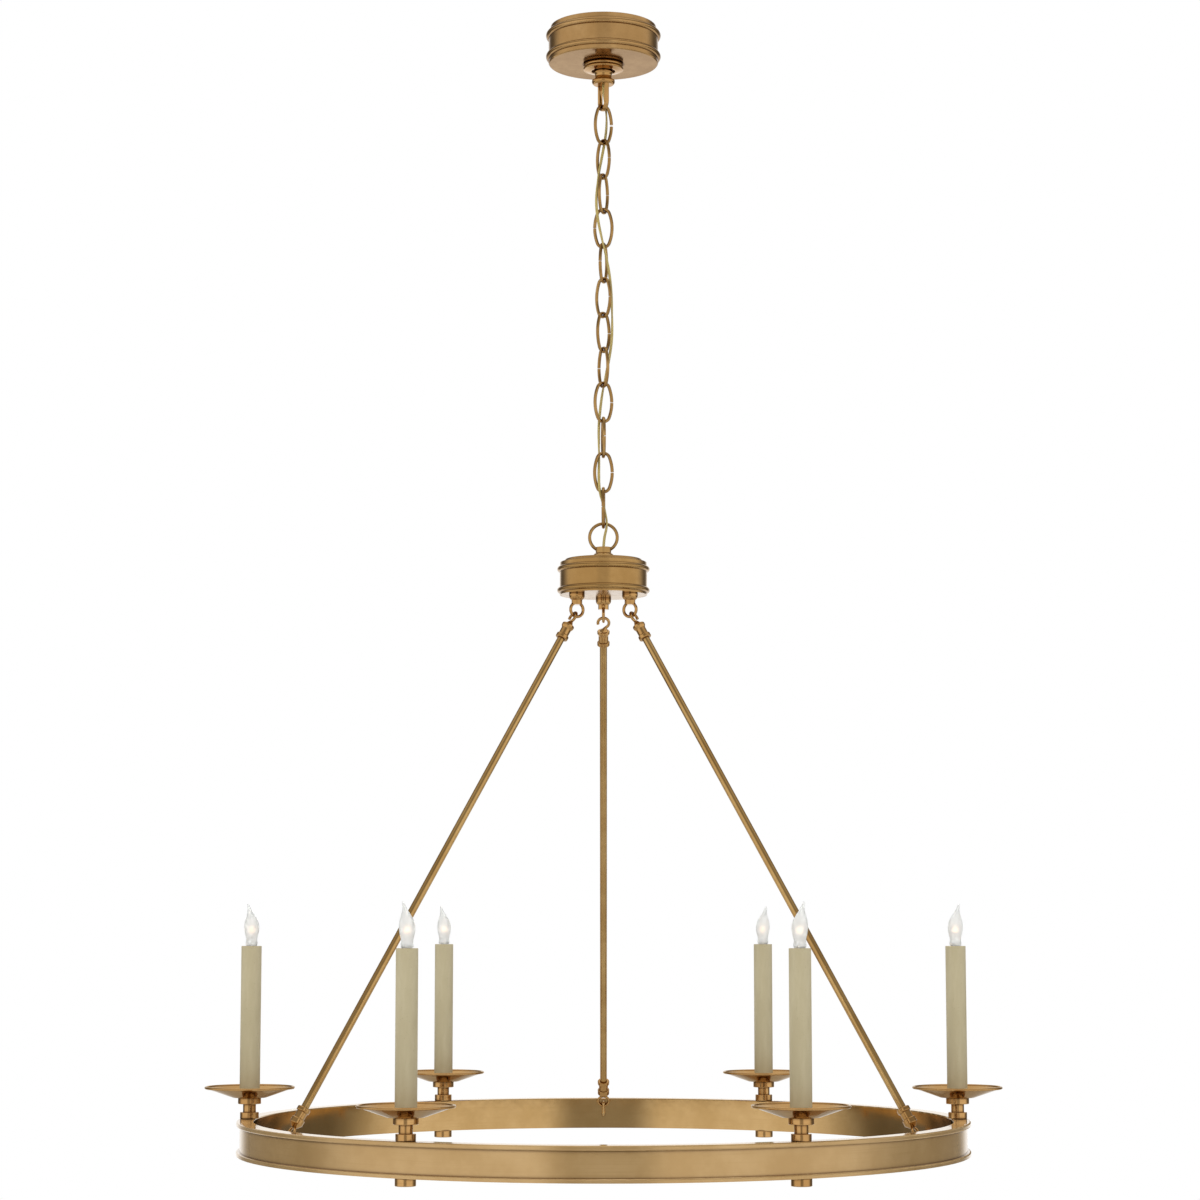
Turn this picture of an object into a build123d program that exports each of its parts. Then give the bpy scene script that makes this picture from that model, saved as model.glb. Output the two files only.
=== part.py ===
from build123d import *
import math
import os

os.makedirs("parts", exist_ok=True)

# Ring chandelier. Sizes are in millimetres. Z = 0 is the ceiling and everything hangs below it.

# Fits
fit_gap = 0.1
running_gap = 0.3
hang_gap = 0.3
stirrup_gap = 0.5
staple_gap = 0.8

# Ceiling strap, nipples and nuts
strap_length = 116.0
strap_width = 22.0
strap_thickness = 2.5
box_screw_spacing = 88.9
box_slot_width = 5.0
box_slot_length = 14.0
nipple_diameter = 9.6
nipple_bore = 6.4
nipple_grip = 12.0
locknut_flats = 16.0
locknut_height = 4.0
ground_screw_offset = 22.0
ground_screw_diameter = 4.2
ground_screw_head_diameter = 8.0
ground_screw_head_height = 2.6

# Canopy and its ring nut
canopy_height = 49.0
canopy_rim_diameter = 138.0
canopy_bead_diameter = 150.0
canopy_web_diameter = 143.0
canopy_wall = 1.6
canopy_rim_height = 7.5
canopy_bead_height = 7.5
canopy_lip_height = 6.0
canopy_edge = 1.2
ring_nut_diameter = 52.5
ring_nut_height = 9.5
ring_nut_top_height = 4.4
ring_nut_bulge = 2.0
ring_nut_chamfer = 2.4
ring_nut_edge = 1.4

# Stem and stirrup
stem_thread_diameter = 30.4
stem_thread_length = 24.0
stem_ring_diameter = 25.0
stem_ring_height = 4.5
stem_neck_diameter = 21.5
stem_neck_height = 10.0
stem_flange_height = 6.0
stem_flange_bulge = 3.6
stem_flange_inset = 0.5
stirrup_inner_width = 17.0
stirrup_inner_length = 31.0
stirrup_bar_width = 6.5
stirrup_bar_thickness = 4.0
stirrup_yaw = -67.0
weld_depth = 1.0

# Chain. Yaw is the turn of a link's plane about Z, and the butt side is the leg that has the gap.
link_wire = 4.2
link_width = 26.8
link_inner_length = 46.1
link_end_radius = 8.2
link_butt_gap = 1.0
first_link_butt_gap = 2.4
link_yaws = [22, -47, 62, -7, 68, -40, 49, -60, 18, -84, 3, 88]
link_butt_sides = [1, 1, 1, -1, -1, 1, 1, -1, 1, 1, 1, -1]

# Hub
hub_ring_diameter = 39.5
hub_ring_wire = 4.1
hub_collar_diameter = 20.0
hub_collar_drop = 12.8
hub_collar_height = 7.4
hub_flare_diameter = 29.6
hub_flare_height = 8.3
hub_cap_diameter = 98.8
hub_cap_height = 3.6
hub_step_diameter = 111.0
hub_step_height = 5.6
hub_cap_thickness = 3.0
hub_bead_diameter = 118.6
hub_bead_height = 7.0
hub_web_diameter = 111.8
hub_web_height = 20.2
hub_lip_height = 2.6
hub_band_wall = 2.0
hub_plate_thickness = 3.0
hub_boss_diameter = 20.0
hub_boss_height = 8.0
hub_edge = 1.2

# Lugs with eyes under the hub
rod_count = 3
first_rod_angle = 90.0
lug_circle_radius = 39.0
lug_flange_diameter = 20.0
lug_flange_height = 3.2
lug_neck_diameter = 13.6
lug_height = 14.4
lug_neck_length = 5.8
lug_eye_diameter = 22.0
lug_eye_wire = 3.9
lug_eye_drop = 6.3
lug_stud_diameter = 6.0
lug_nut_flats = 10.0
lug_nut_height = 5.0
lug_stud_spare = 1.5

# Rods with a hook at the top and an eye at the foot
rod_diameter = 9.5
rod_wall = 1.0
rod_socket_depth = 14.0
hook_turns = [-90.0, 90.0, -90.0]
hook_diameter = 18.0
hook_wire = 3.8
hook_free_end_angle = 194.0
hook_stem_angle = 60.0
hook_root_diameter = 12.0
ferrule_bead_diameter = 16.2
ferrule_bead_height = 5.6
ferrule_neck_diameter = 12.8
ferrule_neck_height = 8.6
ferrule_cup_height = 3.4
ferrule_cup_taper = 3.4
ferrule_edge = 1.2
foot_eye_diameter = 18.2
foot_eye_wire = 3.4
foot_cone_height = 5.0

# Ring and the staples in its inner wall
ring_diameter = 914.4
ring_bead_proud = 4.2
ring_width = 21.6
ring_height = 41.0
ring_wall = 1.5
ring_top_bead_height = 5.7
ring_low_bead_height = 4.8
ring_edge = 1.5
hub_to_ring_drop = 660.7
staple_wire = 4.0
staple_reach = 13.1
staple_top_drop = 4.9
staple_height = 17.6
staple_bend = 3.0
staple_depth = 5.4
foot_clear_of_wall = 3.6
ring_wire_diameter = 2.0

# Candle lights
candle_count = 6
post_collar_diameter = 23.4
post_collar_height = 8.2
post_neck_diameter = 16.2
post_neck_height = 10.0
post_cap_diameter = 29.0
post_cap_height = 8.0
post_edge = 0.8
pan_floor_diameter = 43.0
pan_diameter = 113.0
pan_height = 13.8
pan_wall = 1.3
pan_roll_diameter = 3.2
sleeve_diameter = 25.4
sleeve_wall = 1.3
sleeve_height = 187.5
holder_stem_diameter = 14.0
holder_body_diameter = 20.4
holder_body_height = 56.0
holder_below_sleeve = 2.5
bulb_base_diameter = 12.0
bulb_base_length = 17.0
bulb_tip_contact_diameter = 5.0
bulb_tip_contact_height = 1.5
bulb_diameter = 18.8
bulb_neck_diameter = 13.8
bulb_height = 52.5
bulb_tip_lean = 5.0
bulb_tip_diameter = 2.0
candle_nut_diameter = 24.2
candle_nut_height = 9.0
candle_nut_floor = 2.5

# Lamp cord, woven through the chain
cord_diameter = 3.6
cord_bore = 5.0
cord_run_share = 0.45
cord_route = [
    (0, 0, -66),
    (0, 0, -84),
    (3.5, 6.5, -106),
    (4.5, 10, -128),
    (2, 9, -150),
    (-2, 5.5, -172),
    (-6, 1, -194),
    (-8.5, -4, -216),
    (-9.5, -8, -238),
    (-7, -11, -260),
    (-2.5, -12, -282),
    (3, -9, -304),
    (7.5, -3.5, -326),
    (10, 1, -348),
    (11, 3, -370),
    (11.5, 3.5, -392),
    (11, 3.5, -414),
    (8, 5, -436),
    (3.5, 7.5, -458),
    (-1, 9.5, -480),
    (-4, 10.5, -502),
    (-6, 10.5, -524),
    (-6, 8.5, -546),
    (-5.5, 4.5, -568),
    (-6, -1.5, -590),
    (-5.5, -5.5, -612),
    (1, -6, -634),
    (5.5, -5, -656),
    (0, 0, -676),
    (0, 0, -694),
]

# Heights, worked out from the ceiling down
canopy_bottom = -canopy_height
ring_nut_bottom = canopy_bottom - ring_nut_height
stem_thread_bottom = ring_nut_bottom + ring_nut_height / 4
stem_thread_top = stem_thread_bottom + stem_thread_length
stem_ring_bottom = stem_thread_bottom - stem_ring_height
stem_flange_top = stem_ring_bottom - stem_neck_height
stem_flange_bottom = stem_flange_top - stem_flange_height
stirrup_seat = stem_flange_bottom - stirrup_inner_length
link_pitch = link_inner_length - hang_gap
link_tops = [stirrup_seat + stirrup_gap - i * link_pitch for i in range(len(link_yaws))]
hub_ring_inner_top = link_tops[-1] - link_pitch
hub_ring_centre = hub_ring_inner_top + hub_ring_wire - hub_ring_diameter / 2
hub_collar_top = hub_ring_centre - hub_collar_drop
hub_collar_bottom = hub_collar_top - hub_collar_height
hub_cap_top = hub_collar_bottom - hub_flare_height
hub_step_top = hub_cap_top - hub_cap_height
hub_band_top = hub_step_top - hub_step_height
hub_web_top = hub_band_top - hub_bead_height
hub_web_bottom = hub_web_top - hub_web_height
hub_low_bead_bottom = hub_web_bottom - hub_bead_height
hub_bottom = hub_low_bead_bottom - hub_lip_height
hub_plate_top = hub_bottom + hub_plate_thickness
lug_bottom = hub_bottom - lug_height
lug_eye_centre = lug_bottom - lug_eye_drop
ring_top = hub_bottom - hub_to_ring_drop
ring_bottom = ring_top - ring_height
pan_floor = ring_top + post_collar_height + post_neck_height + post_cap_height
sleeve_bottom = pan_floor + pan_wall
sleeve_top = sleeve_bottom + sleeve_height
holder_top = sleeve_top - holder_below_sleeve
candle_nut_bottom = ring_bottom - candle_nut_height

# Radii that several pieces share
nipple_radius = nipple_diameter / 2
nipple_hole = nipple_radius + fit_gap
stem_pass_radius = stem_thread_diameter / 2 + running_gap
stem_flange_radius = stem_thread_diameter / 2 - stem_flange_inset
ring_radius = ring_diameter / 2
ring_web_radius = ring_radius - ring_bead_proud
ring_inner_radius = ring_radius - ring_width
ring_channel_inner = ring_inner_radius + ring_wall
ring_channel_outer = ring_web_radius - ring_wall
candle_circle_radius = (ring_channel_inner + ring_channel_outer) / 2
staple_bight_radius = ring_inner_radius - staple_reach + staple_wire / 2
staple_top = ring_top - staple_top_drop
staple_bottom = staple_top - staple_height

# The line of a rod, in its own radial plane, from the centre of its lug's eye to the centre of its foot eye
lug_eye_radius = (lug_eye_diameter - lug_eye_wire) / 2
hook_radius = (hook_diameter - hook_wire) / 2
foot_eye_radius = (foot_eye_diameter - foot_eye_wire) / 2
foot_low_radius = ring_inner_radius - foot_clear_of_wall - foot_eye_wire / 2
foot_low_height = staple_top - (staple_wire + foot_eye_wire) / 2 - staple_gap
rod_run = foot_low_radius - lug_circle_radius
rod_drop = lug_eye_centre - foot_low_height
rod_lean = math.atan2(rod_run, rod_drop)
rod_length = math.hypot(rod_run, rod_drop) - foot_eye_radius
hook_top_along = lug_eye_radius - (lug_eye_wire + hook_wire) / 2 - hang_gap
hook_centre_along = hook_top_along + hook_radius
hook_stem_turn = math.radians(hook_stem_angle)
hook_stem_radius = hook_radius * math.cos(hook_stem_turn) / (1 - math.cos(hook_stem_turn))
hook_stem_drop = (hook_radius + hook_stem_radius) * math.sin(hook_stem_turn)
ferrule_length = ferrule_cup_height + ferrule_cup_taper + ferrule_neck_height + ferrule_bead_height
ferrule_top_along = hook_centre_along + hook_stem_drop - weld_depth
ferrule_bottom_along = ferrule_top_along + ferrule_length
foot_cone_tip_along = rod_length - foot_eye_radius
foot_top_along = foot_cone_tip_along - foot_cone_height - ferrule_length
rod_top_along = ferrule_bottom_along - rod_socket_depth
rod_bottom_along = foot_top_along + rod_socket_depth


def save(piece, name):
    """Labels a finished piece and writes its STEP file."""
    piece.part.label = name
    export_step(piece.part, f"parts/{name}.step")


def upright_plane(yaw, height):
    """Plane through the Z axis whose X runs level at the given yaw and whose Y runs up."""
    turn = math.radians(yaw)
    level = (math.cos(turn), math.sin(turn), 0)
    across = (math.sin(turn), -math.cos(turn), 0)
    return Plane(origin=(0, 0, height), x_dir=level, z_dir=across)


def cross_section(path, x_dir=None):
    """Plane square to the start of a path."""
    return Plane(origin=path @ 0, x_dir=x_dir, z_dir=path % 0)


# Ceiling strap with two slots for the box screws
with BuildPart() as ceiling_strap:
    with BuildSketch():
        SlotOverall(strap_length, strap_width)
        Circle(nipple_hole, mode=Mode.SUBTRACT)
        with GridLocations(box_screw_spacing, 0, 2, 1):
            SlotOverall(box_slot_length, box_slot_width, mode=Mode.SUBTRACT)
        with Locations((ground_screw_offset, 0)):
            Circle(ground_screw_diameter / 2 + fit_gap, mode=Mode.SUBTRACT)
    extrude(amount=-strap_thickness)
save(ceiling_strap, "ceiling_strap")

with BuildPart() as ground_screw:
    with BuildSketch(Plane((ground_screw_offset, 0, 0))):
        Circle(ground_screw_diameter / 2)
    extrude(amount=-strap_thickness)
    with BuildSketch(Plane((ground_screw_offset, 0, -strap_thickness))):
        Circle(ground_screw_head_diameter / 2)
    extrude(amount=-ground_screw_head_height)
save(ground_screw, "ground_screw")

# Nipple that carries the whole light from the strap
strap_nipple_bottom = stem_thread_top - nipple_grip
with BuildPart() as strap_nipple:
    with BuildSketch():
        Circle(nipple_radius)
        Circle(nipple_bore / 2, mode=Mode.SUBTRACT)
    extrude(amount=strap_nipple_bottom)
save(strap_nipple, "strap_nipple")

# Locknuts under the strap and on top of the stem
with BuildPart() as strap_locknuts:
    with BuildSketch(Plane.XY.offset(-strap_thickness), Plane.XY.offset(stem_thread_top + locknut_height)):
        RegularPolygon(locknut_flats / 2, 6, major_radius=False)
        Circle(nipple_radius, mode=Mode.SUBTRACT)
    extrude(amount=-locknut_height)
save(strap_locknuts, "strap_locknuts")

# Stem with the stirrup loop, bored for the cord
with BuildPart() as canopy_loop:
    with BuildSketch(Plane.XZ):
        with BuildLine():
            Polyline(
                (0, stem_thread_top),
                (stem_thread_diameter / 2, stem_thread_top),
                (stem_thread_diameter / 2, stem_thread_bottom),
                (stem_ring_diameter / 2, stem_thread_bottom),
                (stem_ring_diameter / 2, stem_ring_bottom),
            )
            ThreePointArc(
                (stem_ring_diameter / 2, stem_ring_bottom),
                (stem_neck_diameter / 2, stem_ring_bottom - stem_neck_height / 2),
                (stem_ring_diameter / 2, stem_flange_top),
            )
            Line((stem_ring_diameter / 2, stem_flange_top), (stem_flange_radius, stem_flange_top))
            ThreePointArc(
                (stem_flange_radius, stem_flange_top),
                (stem_flange_radius, stem_flange_top - stem_flange_bulge),
                (stem_ring_diameter / 2, stem_flange_bottom),
            )
            Polyline(
                (stem_ring_diameter / 2, stem_flange_bottom),
                (0, stem_flange_bottom),
                (0, stem_thread_top),
            )
        make_face()
    revolve(axis=Axis.Z)
    stirrup_half = (stirrup_inner_width + stirrup_bar_thickness) / 2
    stirrup_bend = stirrup_seat + stirrup_inner_width / 2
    with BuildLine(upright_plane(stirrup_yaw, 0)) as stirrup_path:
        leg = Line((stirrup_half, stem_flange_bottom + weld_depth), (stirrup_half, stirrup_bend))
        bend = JernArc(leg @ 1, leg % 1, stirrup_half, -180)
        Line(bend @ 1, bend @ 1 + Vector(0, 0, stem_flange_bottom + weld_depth - stirrup_bend))
    stirrup_normal = upright_plane(stirrup_yaw, 0).z_dir
    with BuildSketch(cross_section(stirrup_path.line, stirrup_normal)):
        SlotOverall(stirrup_bar_width, stirrup_bar_thickness)
    sweep(path=stirrup_path.line)
    with BuildSketch(Plane.XY.offset(stem_thread_top)):
        Circle(cord_bore / 2)
    extrude(amount=stem_flange_bottom - stem_thread_top, mode=Mode.SUBTRACT)
    with BuildSketch(Plane.XY.offset(stem_thread_top)):
        Circle(nipple_radius)
    extrude(amount=-nipple_grip, mode=Mode.SUBTRACT)
save(canopy_loop, "canopy_loop")

# Canopy drum, open at the ceiling
canopy_rim_radius = canopy_rim_diameter / 2
canopy_bead_radius = canopy_bead_diameter / 2
canopy_web_radius = canopy_web_diameter / 2
canopy_inner_radius = canopy_rim_radius - canopy_wall
canopy_bead_top = -canopy_rim_height
canopy_web_top = canopy_bead_top - canopy_bead_height
canopy_lip_top = canopy_bottom + canopy_lip_height
canopy_web_bottom = canopy_lip_top + canopy_bead_height
with BuildPart() as canopy_shell:
    with BuildSketch(Plane.XZ):
        with BuildLine():
            Line((canopy_rim_radius, 0), (canopy_rim_radius, canopy_bead_top))
            ThreePointArc(
                (canopy_rim_radius, canopy_bead_top),
                (canopy_bead_radius, canopy_bead_top - canopy_bead_height / 2),
                (canopy_web_radius, canopy_web_top),
            )
            Line((canopy_web_radius, canopy_web_top), (canopy_web_radius, canopy_web_bottom))
            ThreePointArc(
                (canopy_web_radius, canopy_web_bottom),
                (canopy_bead_radius, canopy_web_bottom - canopy_bead_height / 2),
                (canopy_web_radius, canopy_lip_top),
            )
            Polyline(
                (canopy_web_radius, canopy_lip_top),
                (canopy_web_radius, canopy_bottom + canopy_edge),
                (canopy_web_radius - canopy_edge, canopy_bottom),
                (stem_pass_radius, canopy_bottom),
                (stem_pass_radius, canopy_bottom + canopy_wall),
                (canopy_inner_radius, canopy_bottom + canopy_wall),
                (canopy_inner_radius, 0),
                (canopy_rim_radius, 0),
            )
        make_face()
    revolve(axis=Axis.Z)
save(canopy_shell, "canopy_shell")

# Ring nut that holds the canopy up: two stacked beads
ring_nut_radius = ring_nut_diameter / 2
ring_nut_groove = canopy_bottom - ring_nut_top_height
with BuildPart() as canopy_ring_nut:
    with BuildSketch(Plane.XZ):
        with BuildLine():
            Line((stem_pass_radius, canopy_bottom), (ring_nut_radius - ring_nut_bulge, canopy_bottom))
            ThreePointArc(
                (ring_nut_radius - ring_nut_bulge, canopy_bottom),
                (ring_nut_radius, canopy_bottom - ring_nut_top_height / 2),
                (ring_nut_radius - ring_nut_bulge, ring_nut_groove),
            )
            ThreePointArc(
                (ring_nut_radius - ring_nut_bulge, ring_nut_groove),
                (ring_nut_radius, (ring_nut_groove + ring_nut_bottom + ring_nut_edge) / 2),
                (ring_nut_radius - ring_nut_chamfer, ring_nut_bottom + ring_nut_edge),
            )
            Polyline(
                (ring_nut_radius - ring_nut_chamfer, ring_nut_bottom + ring_nut_edge),
                (stem_pass_radius + ring_nut_bulge, ring_nut_bottom),
                (stem_pass_radius, ring_nut_bottom),
                (stem_pass_radius, canopy_bottom),
            )
        make_face()
    revolve(axis=Axis.Z)
save(canopy_ring_nut, "canopy_ring_nut")

# Chain links: ovals of four tangent arcs, open at the butt
link_half_width = (link_width - link_wire) / 2
link_half_length = (link_inner_length + link_wire) / 2
link_end_centre = link_half_length - link_end_radius
link_side_radius = (
    (link_half_width**2 + link_end_centre**2 - link_end_radius**2) / (2 * (link_half_width - link_end_radius))
)
link_side_angle = math.degrees(math.asin(link_end_centre / (link_side_radius - link_end_radius)))
link_end_angle = 180 - 2 * link_side_angle
for number, (yaw, side, inner_top) in enumerate(zip(link_yaws, link_butt_sides, link_tops), start=1):
    butt_gap = first_link_butt_gap if number == 1 else link_butt_gap
    butt_angle = math.asin(butt_gap / 2 / link_side_radius)
    link_plane = upright_plane(yaw if side > 0 else yaw + 180, inner_top - link_inner_length / 2)
    butt = (
        link_half_width - link_side_radius * (1 - math.cos(butt_angle)),
        link_side_radius * math.sin(butt_angle),
    )
    butt_direction = (-math.sin(butt_angle), math.cos(butt_angle))
    half_side = link_side_angle - math.degrees(butt_angle)
    with BuildPart() as chain_link:
        with BuildLine(link_plane) as link_path:
            first = JernArc(butt, butt_direction, link_side_radius, half_side)
            top = JernArc(first @ 1, first % 1, link_end_radius, link_end_angle)
            far = JernArc(top @ 1, top % 1, link_side_radius, 2 * link_side_angle)
            low = JernArc(far @ 1, far % 1, link_end_radius, link_end_angle)
            JernArc(low @ 1, low % 1, link_side_radius, half_side)
        with BuildSketch(cross_section(link_path.line)):
            Circle(link_wire / 2)
        sweep(path=link_path.line)
    save(chain_link, f"chain_link_{number:02d}")

# Hub loop: ring, collar and flared foot in one casting
hub_ring_radius = (hub_ring_diameter - hub_ring_wire) / 2
hub_collar_radius = hub_collar_diameter / 2
hub_flare_radius = hub_flare_diameter / 2
with BuildPart() as hub_loop:
    with Locations(upright_plane(0, hub_ring_centre)):
        Torus(hub_ring_radius, hub_ring_wire / 2)
    with BuildSketch(Plane.XZ):
        with BuildLine():
            Polyline(
                (0, hub_cap_top),
                (0, hub_collar_top),
                (hub_collar_radius, hub_collar_top),
                (hub_collar_radius, hub_collar_bottom),
            )
            RadiusArc(
                (hub_collar_radius, hub_collar_bottom),
                (hub_flare_radius, hub_cap_top + hub_edge),
                hub_flare_height,
            )
            Polyline(
                (hub_flare_radius, hub_cap_top + hub_edge),
                (hub_flare_radius, hub_cap_top),
                (0, hub_cap_top),
            )
        make_face()
    revolve(axis=Axis.Z)
    with BuildSketch(Plane.XY.offset(hub_collar_top)):
        Circle(cord_bore / 2)
    extrude(amount=hub_cap_top - hub_collar_top, mode=Mode.SUBTRACT)
    with BuildSketch(Plane.XY.offset(hub_cap_top)):
        Circle(nipple_radius)
    extrude(amount=nipple_grip, mode=Mode.SUBTRACT)
save(hub_loop, "hub_loop")

# Stepped cap, hollow underneath
hub_cap_radius = hub_cap_diameter / 2
hub_step_radius = hub_step_diameter / 2
with BuildPart() as hub_cap:
    with BuildSketch(Plane.XZ):
        with BuildLine():
            FilletPolyline(
                (nipple_hole, hub_cap_top),
                (hub_cap_radius, hub_cap_top),
                (hub_cap_radius, hub_step_top),
                (hub_step_radius, hub_step_top),
                (hub_step_radius, hub_band_top),
                (hub_cap_radius - hub_cap_thickness, hub_band_top),
                (hub_cap_radius - hub_cap_thickness, hub_cap_top - hub_cap_thickness),
                (nipple_hole, hub_cap_top - hub_cap_thickness),
                radius=[0, hub_edge, 0, hub_edge, 0, 0, 0, 0],
                close=True,
            )
        make_face()
    revolve(axis=Axis.Z)
save(hub_cap, "hub_cap")

# Drum band with a bead at the top and bottom
hub_bead_radius = hub_bead_diameter / 2
hub_web_radius = hub_web_diameter / 2
hub_band_inner = hub_web_radius - hub_band_wall
with BuildPart() as hub_band:
    with BuildSketch(Plane.XZ):
        with BuildLine():
            Line((hub_band_inner, hub_band_top), (hub_web_radius, hub_band_top))
            ThreePointArc(
                (hub_web_radius, hub_band_top),
                (hub_bead_radius, hub_band_top - hub_bead_height / 2),
                (hub_web_radius, hub_web_top),
            )
            Line((hub_web_radius, hub_web_top), (hub_web_radius, hub_web_bottom))
            ThreePointArc(
                (hub_web_radius, hub_web_bottom),
                (hub_bead_radius, hub_web_bottom - hub_bead_height / 2),
                (hub_web_radius, hub_low_bead_bottom),
            )
            Polyline(
                (hub_web_radius, hub_low_bead_bottom),
                (hub_web_radius, hub_bottom),
                (hub_band_inner, hub_bottom),
                (hub_band_inner, hub_band_top),
            )
        make_face()
    revolve(axis=Axis.Z)
save(hub_band, "hub_band")

# Base plate with a boss that the hub nipple screws into
hub_boss_top = hub_plate_top + hub_boss_height
with BuildPart() as hub_base_plate:
    with BuildSketch(Plane.XY.offset(hub_bottom)):
        Circle(hub_band_inner - fit_gap)
        with PolarLocations(lug_circle_radius, rod_count, first_rod_angle):
            Circle(lug_stud_diameter / 2 + fit_gap, mode=Mode.SUBTRACT)
    extrude(amount=hub_plate_thickness)
    with BuildSketch(Plane.XY.offset(hub_plate_top)):
        Circle(hub_boss_diameter / 2)
        Circle(nipple_radius, mode=Mode.SUBTRACT)
    extrude(amount=hub_boss_height)
save(hub_base_plate, "hub_base_plate")

with BuildPart() as hub_nipple:
    with BuildSketch(Plane.XY.offset(hub_plate_top)):
        Circle(nipple_radius)
        Circle(nipple_bore / 2, mode=Mode.SUBTRACT)
    extrude(amount=hub_cap_top + nipple_grip - hub_plate_top)
save(hub_nipple, "hub_nipple")

# Lugs with eyes: each eye stands in its rod's radial plane
rod_angles = [first_rod_angle + 360 / rod_count * i for i in range(rod_count)]
lug_neck_radius = lug_neck_diameter / 2
lug_flange_radius = lug_flange_diameter / 2
lug_stud_top = hub_plate_top + lug_nut_height + lug_stud_spare
for number, angle in enumerate(rod_angles, start=1):
    outward = Vector(math.cos(math.radians(angle)), math.sin(math.radians(angle)), 0)
    place = outward * lug_circle_radius
    tangent = outward.rotate(Axis.Z, 90)
    with BuildPart() as hub_eye:
        with BuildSketch(Plane(origin=place, x_dir=outward, z_dir=-tangent)):
            with BuildLine():
                Polyline(
                    (0, lug_bottom),
                    (0, lug_stud_top),
                    (lug_stud_diameter / 2, lug_stud_top),
                    (lug_stud_diameter / 2, hub_bottom),
                    (lug_flange_radius, hub_bottom),
                    (lug_flange_radius, hub_bottom - lug_flange_height),
                )
                RadiusArc(
                    (lug_flange_radius, hub_bottom - lug_flange_height),
                    (lug_neck_radius, lug_bottom + lug_neck_length),
                    lug_height / 2,
                )
                Polyline(
                    (lug_neck_radius, lug_bottom + lug_neck_length),
                    (lug_neck_radius, lug_bottom),
                    (0, lug_bottom),
                )
            make_face()
        revolve(axis=Axis(place, (0, 0, 1)))
        with Locations(Plane(origin=place + Vector(0, 0, lug_eye_centre), z_dir=tangent)):
            Torus(lug_eye_radius, lug_eye_wire / 2)
    save(hub_eye, f"hub_eye_{number}")

with BuildPart() as hub_eye_nuts:
    with BuildSketch(Plane.XY.offset(hub_plate_top)):
        with PolarLocations(lug_circle_radius, rod_count, first_rod_angle):
            RegularPolygon(lug_nut_flats / 2, 6, major_radius=False)
            Circle(lug_stud_diameter / 2, mode=Mode.SUBTRACT)
    extrude(amount=lug_nut_height)
save(hub_eye_nuts, "hub_eye_nuts")

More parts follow.
